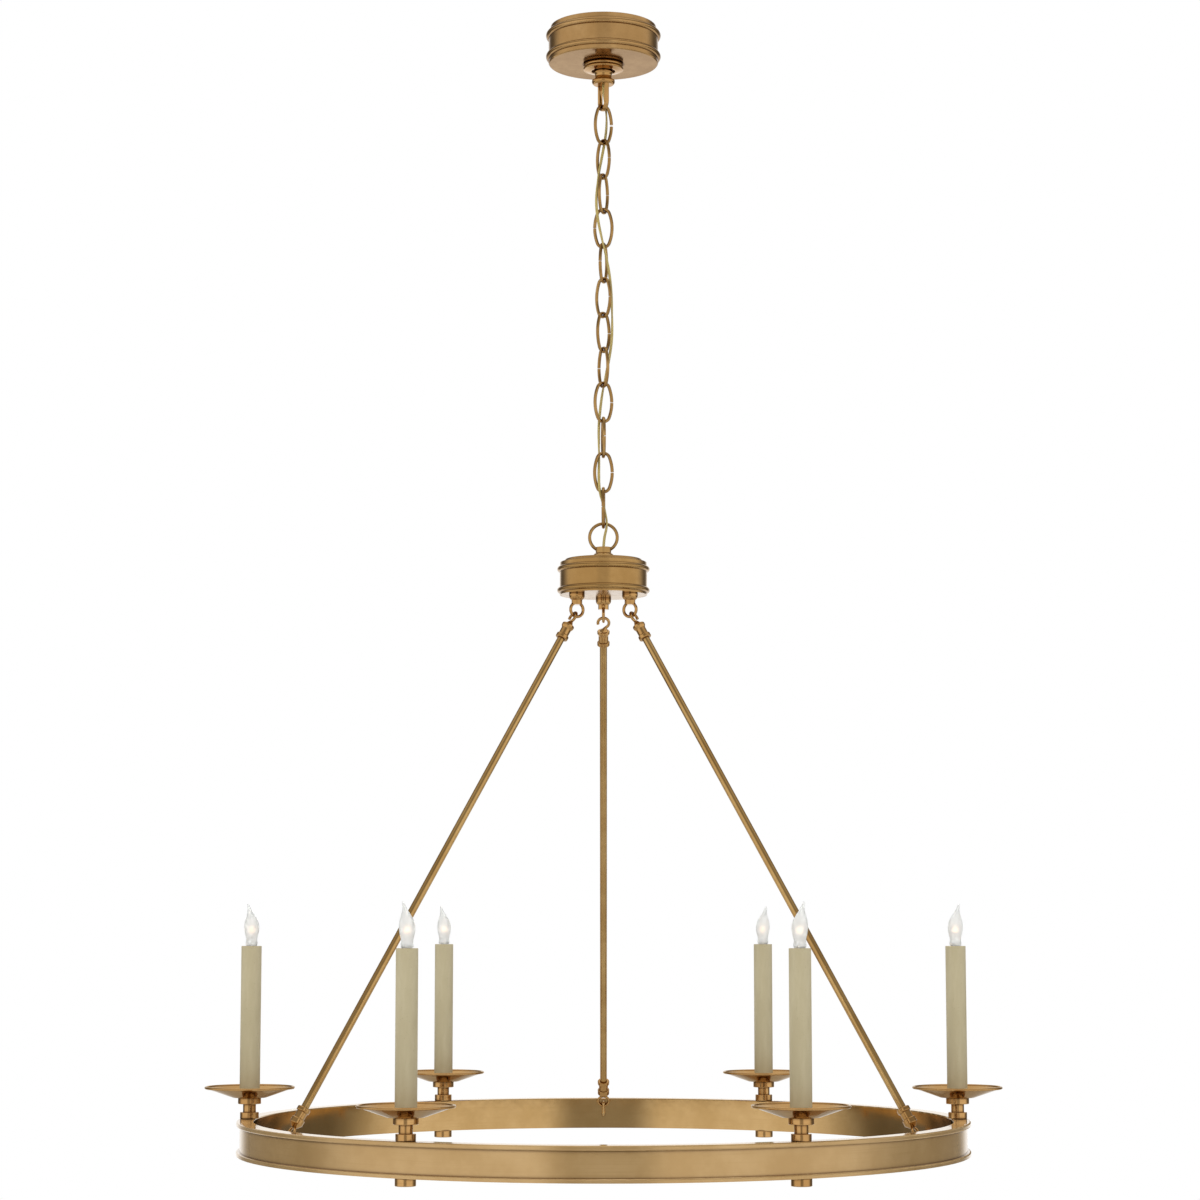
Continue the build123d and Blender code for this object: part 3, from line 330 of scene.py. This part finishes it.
def brass(name, lines, light=BRASS_LIGHT, deep=BRASS_DEEP, rough=BRASS_ROUGH, edge=WHITE,
          reach=GROOVE_REACH, blotch=BLOTCH):
    """Burnished antique brass: soft patches, fine working lines, and dark patina with painted shade in the
    grooves and between parts.
    """
    material, tree, main = shader(name)
    patches = noise(tree, PATCH_CELLS, detail=5.0)
    mottle = noise(tree, MOTTLE_CELLS, detail=3.0)
    fine = noise(tree, lines, detail=3.0)
    # Ambient occlusion paints dark patina and shade into the grooves and into the gaps between parts.
    grooves = add(tree, "ShaderNodeAmbientOcclusion", {"Distance": reach}, samples=GROOVE_SAMPLES)
    clean_and_unshaded = ramp(tree, grooves.outputs["AO"], *GROOVE_SPAN)
    tone = mix(tree, ramp(tree, patches, *PATCH_SPAN), deep, light)
    tone = mix(tree, ramp(tree, mottle, *MOTTLE_SPAN, blotch, 0.0), tone, deep)
    worked = mix(tree, ramp(tree, fine, *LINE_SPAN, LINE_LEAST, 1.0), deep, tone)
    least, most = rough
    feed(tree, main, {
        "Base Color": mix(tree, clean_and_unshaded, BRASS_PATINA_AND_SHADE, worked),
        "Roughness": ramp(tree, mottle, *MOTTLE_SPAN, most, least),
        "Metallic": 1.0,
        "Specular Tint": edge,
        "Normal": bump(tree, fine, LINE_DEPTH, LINE_STRENGTH),
    })
    return material


def ring_finish(name):
    """The ring's brass: a satin, slightly hazy outside and a polished inner wall."""
    material = brass(name, RING_LINES, RING_LIGHT, RING_DEEP, RING_ROUGH, blotch=RING_BLOTCH)
    tree = material.node_tree
    inside = RING_INNER_RADIUS + RING_WALL / 4
    outside = RING_INNER_RADIUS + RING_WALL
    haze = ramp(tree, axis_distance(tree), inside, outside, 1.0, RING_HAZE)
    feed(tree, tree.nodes["Principled BSDF"], {"Metallic": haze})
    return material


def ivory(name):
    """Matt ivory sleeve with a cloudy tint and scattered specks."""
    material, tree, main = shader(name)
    cloud = noise(tree, IVORY_CLOUD_CELLS, detail=3.0)
    specks = noise(tree, IVORY_SPECK_CELLS, detail=1.0)
    grain = noise(tree, IVORY_GRAIN_CELLS)
    tint = mix(tree, ramp(tree, cloud, *MOTTLE_SPAN), IVORY_SHADE, IVORY)
    feed(tree, main, {
        "Base Color": mix(tree, ramp(tree, specks, *SPECK_SPAN), tint, IVORY_SPECK),
        "Roughness": IVORY_ROUGH,
        "Normal": bump(tree, grain, IVORY_DEPTH, IVORY_STRENGTH),
    })
    return material


def frosted(name):
    """Frosted bulb glass."""
    material, tree, main = shader(name)
    cloud = noise(tree, GLASS_CELLS, detail=2.0)
    feed(tree, main, {
        "Base Color": mix(tree, cloud, GLASS_DEEP, GLASS_LIGHT),
        "Roughness": GLASS_ROUGH,
        "IOR": GLASS_IOR,
        "Transmission Weight": GLASS_CLEAR,
    })
    return material


def glow(name):
    """Warm light of the lit filament."""
    material, tree, main = shader(name)
    heat = noise(tree, GLOW_CELLS, detail=1.0)
    feed(tree, main, {
        "Base Color": GLOW_BODY,
        "Emission Color": mix(tree, heat, GLOW_DEEP, GLOW_LIGHT),
        "Emission Strength": GLOW_STRENGTH,
    })
    return material


def steel(name):
    """Zinc plated steel."""
    material, tree, main = shader(name)
    spangle = noise(tree, SPANGLE_CELLS, detail=3.0)
    least, most = STEEL_ROUGH
    feed(tree, main, {
        "Base Color": mix(tree, spangle, STEEL_DEEP, STEEL_LIGHT),
        "Roughness": ramp(tree, spangle, *PATCH_SPAN, most, least),
        "Metallic": 1.0,
    })
    return material


def plastic(name, deep, light, rough):
    """Moulded plastic with a slight grain."""
    material, tree, main = shader(name)
    grain = noise(tree, PLASTIC_CELLS, detail=2.0)
    feed(tree, main, {
        "Base Color": mix(tree, grain, deep, light),
        "Roughness": rough,
        "Normal": bump(tree, grain, PLASTIC_DEPTH, PLASTIC_STRENGTH),
    })
    return material


def jacket(name):
    """Glossy gold jacket of the cord, with a hint of the strands inside."""
    material, tree, main = shader(name)
    strands = noise(tree, STRAND_CELLS, detail=2.0)
    feed(tree, main, {
        "Base Color": mix(tree, strands, JACKET_DEEP, JACKET_LIGHT),
        "Roughness": JACKET_ROUGH,
        "Coat Weight": JACKET_COAT,
    })
    return material


def around(count):
    """Equal steps of angle around a full turn."""
    return [2 * math.pi * i / count for i in range(count)]


def new_piece(name, verts, faces, material, sharp=math.radians(35)):
    """A new mesh object, smooth apart from its hard edges."""
    mesh = bpy.data.meshes.new(name)
    mesh.from_pydata(verts, [], faces)
    mesh.validate()
    mesh.shade_smooth()
    mesh.set_sharp_from_angle(angle=sharp)
    mesh.materials.append(material)
    made = bpy.data.objects.new(name, mesh)
    bpy.context.scene.collection.objects.link(made)
    return made


def skin(rings, closed):
    """Points and faces that join rings of equal counts, with caps on an open stack."""
    count = len(rings[0])
    verts = [point for ring in rings for point in ring]
    last = len(rings) if closed else len(rings) - 1
    faces = []
    for i in range(last):
        here, there = i * count, (i + 1) % len(rings) * count
        for j in range(count):
            k = (j + 1) % count
            faces.append((here + j, here + k, there + k, there + j))
    if not closed:
        faces.append(tuple(range(count))[::-1])
        faces.append(tuple(range(len(verts) - count, len(verts))))
    return verts, faces


def turned(name, profile, material, closed=False, sides=64):
    """A turned piece about its own Z: rows of the profile give radius, height and sideways lean."""
    angles = around(sides)
    rings = [
        [(radius * math.cos(a) + lean, radius * math.sin(a), height) for a in angles]
        for radius, height, lean in profile
    ]
    return new_piece(name, *skin(rings, closed), material)


def smooth_curve(rows, count):
    """Points of a smooth line through the rows, by cubic steps between them."""
    rows = [Vector(row) for row in rows]
    out = []
    for i in range(count + 1):
        share = i / count * (len(rows) - 1)
        k = min(int(share), len(rows) - 2)
        t = share - k
        before, start, end, after = (rows[min(max(j, 0), len(rows) - 1)] for j in (k - 1, k, k + 1, k + 2))
        out.append(
            start
            + (end - before) * (t / 2)
            + (before * 2 - start * 5 + end * 4 - after) * (t * t / 2)
            + (start * 3 - before - end * 3 + after) * (t**3 / 2)
        )
    return out


# Materials
turned_brass = brass("brass_turned", TURNED_LINES)
post_brass = brass("brass_post", TURNED_LINES, POST_LIGHT, POST_DEEP, POST_ROUGH)
fitting_brass = brass("brass_fitting", TURNED_LINES, FITTING_LIGHT, FITTING_DEEP, FITTING_ROUGH,
                      reach=FITTING_REACH)
pan_brass = brass("brass_pan", TURNED_LINES, POST_LIGHT, POST_DEEP, POST_ROUGH, PAN_EDGE)
canopy_brass = brass("brass_canopy", TURNED_LINES, CANOPY_LIGHT, CANOPY_DEEP, BRASS_ROUGH, CANOPY_EDGE)
ring_brass = ring_finish("brass_ring")
wire_brass = brass("brass_wire", WIRE_LINES, BRASS_LIGHT, WIRE_DEEP)
rod_brass = brass("brass_rod", ROD_LINES, ROD_LIGHT, ROD_DEEP)
plated_steel = steel("steel_plated")
black_plastic = plastic("socket_plastic", SOCKET_DEEP, SOCKET_LIGHT, SOCKET_ROUGH)
wire_plastic = plastic("wire_plastic", WIRING_DEEP, WIRING_LIGHT, WIRING_ROUGH)
sleeve_ivory = ivory("sleeve_ivory")
bulb_glass = frosted("bulb_glass")
bulb_glow = glow("bulb_glow")
cord_jacket = jacket("cord_jacket")

# A CAD node takes the first finish whose key starts its name.
FINISHES = {
    "ceiling_": plated_steel,
    "ground_": plated_steel,
    "strap_": plated_steel,
    "hub_nipple": plated_steel,
    "hub_eye_nuts": plated_steel,
    "candle_nipples": plated_steel,
    "candle_": post_brass,
    "drip_": pan_brass,
    "canopy_shell": canopy_brass,
    "canopy_": fitting_brass,
    "hub_eye": fitting_brass,
    "rod_hook": fitting_brass,
    "rod_foot": fitting_brass,
    "lamp_": black_plastic,
    "ring_wiring": wire_plastic,
    "ring_": ring_brass,
    "rod_tube": rod_brass,
    "chain_": wire_brass,
    "": turned_brass,
}
for name, node in nodes.items():
    finish = next(material for start, material in FINISHES.items() if name.startswith(start))
    node.data.materials.clear()
    node.data.materials.append(finish)


def cord_points():
    """Points along the smooth line of the cord's route."""
    curve = bpy.data.curves.new("cord_route", "CURVE")
    curve.dimensions = "3D"
    curve.resolution_u = CORD_CURVE_STEPS
    spline = curve.splines.new("NURBS")
    spline.points.add(len(CORD_ROUTE) - 1)
    for point, place in zip(spline.points, CORD_ROUTE):
        point.co = (*(Vector(place) * MM), 1.0)
    spline.order_u = CORD_CURVE_ORDER
    spline.use_endpoint_u = True
    guide = bpy.data.objects.new("cord_route", curve)
    bpy.context.scene.collection.objects.link(guide)
    mesh = bpy.data.meshes.new_from_object(guide)
    points = [vertex.co.copy() for vertex in mesh.vertices]
    bpy.data.objects.remove(guide)
    bpy.data.meshes.remove(mesh)
    return points


def lead_section(steps=9):
    """Outline of the twin lead: two round leads side by side."""
    outline = []
    for side in (1, -1):
        for i in range(steps):
            angle = math.radians(-CORD_LEAD_ARC + 2 * CORD_LEAD_ARC * i / (steps - 1))
            x = CORD_LEAD_RADIUS * (1 + math.cos(angle)) * side
            outline.append((x, CORD_LEAD_HEIGHT * math.sin(angle) * side))
    return outline


def cord_rings(points):
    """The lead's outline at each point of its line, with a slow twist."""
    outline = lead_section()
    rings = []
    for i, point in enumerate(points):
        along = (points[min(i + 1, len(points) - 1)] - points[max(i - 1, 0)]).normalized()
        turn = 2 * math.pi * CORD_TURNS * i / len(points)
        level = Vector((math.cos(turn), math.sin(turn), 0))
        across = (level - along * level.dot(along)).normalized()
        third = along.cross(across)
        rings.append([point + across * x + third * y for x, y in outline])
    return rings


def nearest(points, height):
    """Number of the point that is nearest to a height."""
    return min(range(len(points)), key=lambda i: abs(points[i].z - height))


def make_cord():
    """The twin lead, cut into stretches at the middle of each link."""
    points = cord_points()
    rings = cord_rings(points)
    numbers = range(1, LINK_COUNT + 1)
    boxes = [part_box(f"chain_link_{i:02d}") for i in numbers]
    ends = [0] + [nearest(points, (low.z + high.z) / 2) for low, high in boxes] + [len(points) - 1]
    for i, (start, end) in enumerate(zip(ends, ends[1:])):
        piece = new_piece(f"supply_cord_{i + 1:02d}", *skin(rings[start:end + 1], False), cord_jacket)
        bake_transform(piece)
    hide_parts("supply_cord")


def make_sleeve(number):
    """A candle sleeve with a soft lip at each end."""
    low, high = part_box(f"candle_sleeve_{number}")
    centre = (low + high) / 2
    outer = (high.x - low.x) / 2
    inner = outer - SLEEVE_WALL
    tall = high.z - low.z
    lip = SLEEVE_LIP
    corner = lip * LIP_CORNER
    profile = [
        (inner, 0, 0), (outer - lip, 0, 0), (outer - corner, corner, 0), (outer, lip, 0),
        (outer, tall - lip, 0), (outer - corner, tall - corner, 0), (outer - lip, tall, 0),
        (inner + lip, tall, 0), (inner + corner, tall - corner, 0), (inner, tall - lip, 0),
    ]
    sleeve = turned(f"sleeve_{number}", profile, sleeve_ivory, closed=True)
    sleeve.location = (centre.x, centre.y, low.z)
    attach(sleeve, f"sleeve_{number}")
    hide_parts(f"candle_sleeve_{number}")


def make_glass(number, side):
    """A bulb's frosted glass: an outer and an inner wall, with a tip that bends to one side."""
    rows = [
        (width * BULB_WIDTH / 2, share * BULB_HEIGHT, lean * side * BULB_LEAN)
        for share, width, lean in FLAME
    ]
    outside = smooth_curve(rows, FLAME_STEPS)
    inside = [(max(r - BULB_WALL, INSIDE_LEAST_RADIUS), h, x) for r, h, x in outside[INSIDE_ROWS]]
    tips = [(TIP_RADIUS, *wall[-1][1:]) for wall in (outside, inside)]
    profile = [*outside, *tips, *inside[::-1]]
    return turned(f"bulb_glass_{number}", profile, bulb_glass, closed=True, sides=BULB_SIDES)


def make_filament(number):
    """A bulb's lit filament."""
    rows = [(r * FILAMENT_RADIUS, FILAMENT_START + h * FILAMENT_HEIGHT, 0) for r, h in FILAMENT]
    profile = smooth_curve(rows, FILAMENT_STEPS)
    return turned(f"bulb_filament_{number}", profile, bulb_glow, sides=FILAMENT_SIDES)


def make_base(number):
    """A bulb's screw base, down to its contact."""
    root = BASE_WIDTH / 2 - THREAD_DEPTH
    count = THREAD_COUNT * THREAD_STEPS
    profile = [(BASE_TOP_RADIUS, 0, 0)]
    for i in range(count + 1):
        crest = 0.5 - 0.5 * math.cos(2 * math.pi * i / THREAD_STEPS)
        profile.append((root + THREAD_DEPTH * crest, -(THREAD_START + THREAD_LENGTH * i / count), 0))
    profile += [
        (CONE_RADIUS, -CONE_DEPTH, 0), (CONTACT_RADIUS, -BASE_LENGTH, 0),
        (CONTACT_TIP_RADIUS, -BASE_LENGTH - CONTACT_HEIGHT, 0),
    ]
    return turned(f"bulb_base_{number}", profile, turned_brass, sides=BASE_SIDES)


def make_bulb(number):
    """A flame bulb that stands on its sleeve's top, with its tip bent away from the middle."""
    low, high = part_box(f"candle_sleeve_{number}")
    centre = (low + high) / 2
    glass = make_glass(number, math.copysign(1, centre.x))
    for piece in (glass, make_filament(number), make_base(number)):
        piece.location = (centre.x, centre.y, high.z)
        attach(piece, f"bulb_{number}")
    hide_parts(f"bulb_{number}")


def make_stage():
    """Pale floor below the light. It fades to white far out, and doesn't hide the light from below."""
    material, tree, main = shader("floor")
    tone = noise(tree, FLOOR_CELLS, detail=1.0)
    feed(tree, main, {"Base Color": mix(tree, tone, FLOOR_DEEP, FLOOR_LIGHT), "Roughness": FLOOR_ROUGH})
    path = add(tree, "ShaderNodeLightPath").outputs
    seen = work(tree, "MAXIMUM", path["Is Camera Ray"], path["Is Glossy Ray"])
    seen = work(tree, "MAXIMUM", seen, path["Is Transmission Ray"])
    far = work(tree, "MULTIPLY", seen, ramp(tree, axis_distance(tree), *FLOOR_FADE))
    white = add(tree, "ShaderNodeEmission", {"Color": WHITE, "Strength": 1.0}).outputs[0]
    faded = add(tree, "ShaderNodeMixShader", {0: far, 1: main.outputs[0], 2: white}).outputs[0]
    below = add(tree, "ShaderNodeNewGeometry").outputs["Backfacing"]
    clear = add(tree, "ShaderNodeBsdfTransparent").outputs[0]
    whole = add(tree, "ShaderNodeMixShader", {0: below, 1: faded, 2: clear}).outputs[0]
    feed(tree, tree.nodes["Material Output"], {"Surface": whole})
    angles = around(FLOOR_SIDES)
    rim = [(FLOOR_RADIUS * math.cos(a), FLOOR_RADIUS * math.sin(a), FLOOR_HEIGHT) for a in angles]
    new_piece("floor", rim, [tuple(range(FLOOR_SIDES))], material)


def make_world():
    """White to the camera and through glass, an even grey as ambient light, and a studio in the metal."""
    world = bpy.data.worlds.new("studio")
    bpy.context.scene.world = world
    world.use_nodes = True
    tree = world.node_tree
    direction = add(tree, "ShaderNodeTexCoord").outputs["Generated"]
    axes = add(tree, "ShaderNodeSeparateXYZ", {"Vector": direction}).outputs
    height = axes["Z"]
    toward_camera = work(tree, "MULTIPLY", axes["Y"], -1.0)
    bearing = work(tree, "ABSOLUTE", work(tree, "ARCTAN2", axes["X"], toward_camera))
    gap = ramp(tree, height, *HORIZON, GAP_LOW, GAP_HIGH)
    starts = ramp(tree, bearing, *BOX_START, gap, 1.0)
    turned_back = work(tree, "SUBTRACT", bearing, ramp(tree, height, *HORIZON, 0.0, BOX_END_RISE))
    ends = ramp(tree, turned_back, *BOX_END, 1.0, 0.0)
    boxes = work(tree, "MULTIPLY", starts, ends)
    boxes = work(tree, "MULTIPLY", boxes, ramp(tree, height, *BOX_TOP, 1.0, BOX_TOP_LEVEL))
    bright = work(tree, "MAXIMUM", boxes, ramp(tree, bearing, *BACKDROP_START))
    bright = work(tree, "MAXIMUM", bright, ramp(tree, height, *STUDIO_TOP, 0.0, STUDIO_TOP_LEVEL))
    studio = mix(tree, bright, STUDIO_DARK, STUDIO_BRIGHT)
    path = add(tree, "ShaderNodeLightPath").outputs
    surround = mix(tree, path["Is Glossy Ray"], AMBIENT, studio)
    plain = work(tree, "MAXIMUM", path["Is Camera Ray"], path["Is Transmission Ray"])
    feed(tree, tree.nodes["Background"], {"Color": mix(tree, plain, surround, WHITE), "Strength": 1.0})


def make_light(name, place, aim, size, power):
    """A soft square lamp that faces a point."""
    lamp = bpy.data.lights.new(name, "AREA")
    lamp.shape = "SQUARE"
    lamp.size = size
    lamp.energy = power
    made = bpy.data.objects.new(name, lamp)
    made.location = place
    made.rotation_euler = (Vector(aim) - Vector(place)).to_track_quat("-Z", "Y").to_euler()
    made.visible_glossy = False
    bpy.context.scene.collection.objects.link(made)


def make_camera():
    """The photograph's camera."""
    camera = bpy.data.cameras.new("camera")
    camera.lens = CAMERA_LENS
    camera.sensor_width = CAMERA_SENSOR
    made = bpy.data.objects.new("camera", camera)
    level = Euler((math.pi / 2, 0, 0)).to_matrix()
    turn = Matrix.Rotation(CAMERA_YAW, 3, "Z") @ Matrix.Rotation(CAMERA_PITCH, 3, "X") @ level
    made.matrix_world = Matrix.Translation(CAMERA_PLACE) @ turn.to_4x4()
    bpy.context.scene.collection.objects.link(made)
    bpy.context.scene.camera = made


make_camera()
make_cord()
for number in range(1, CANDLE_COUNT + 1):
    make_sleeve(number)
    make_bulb(number)
make_stage()
make_world()
for name, settings in LAMPS.items():
    make_light(name, *settings)
bpy.context.scene.view_settings.view_transform = "Standard"
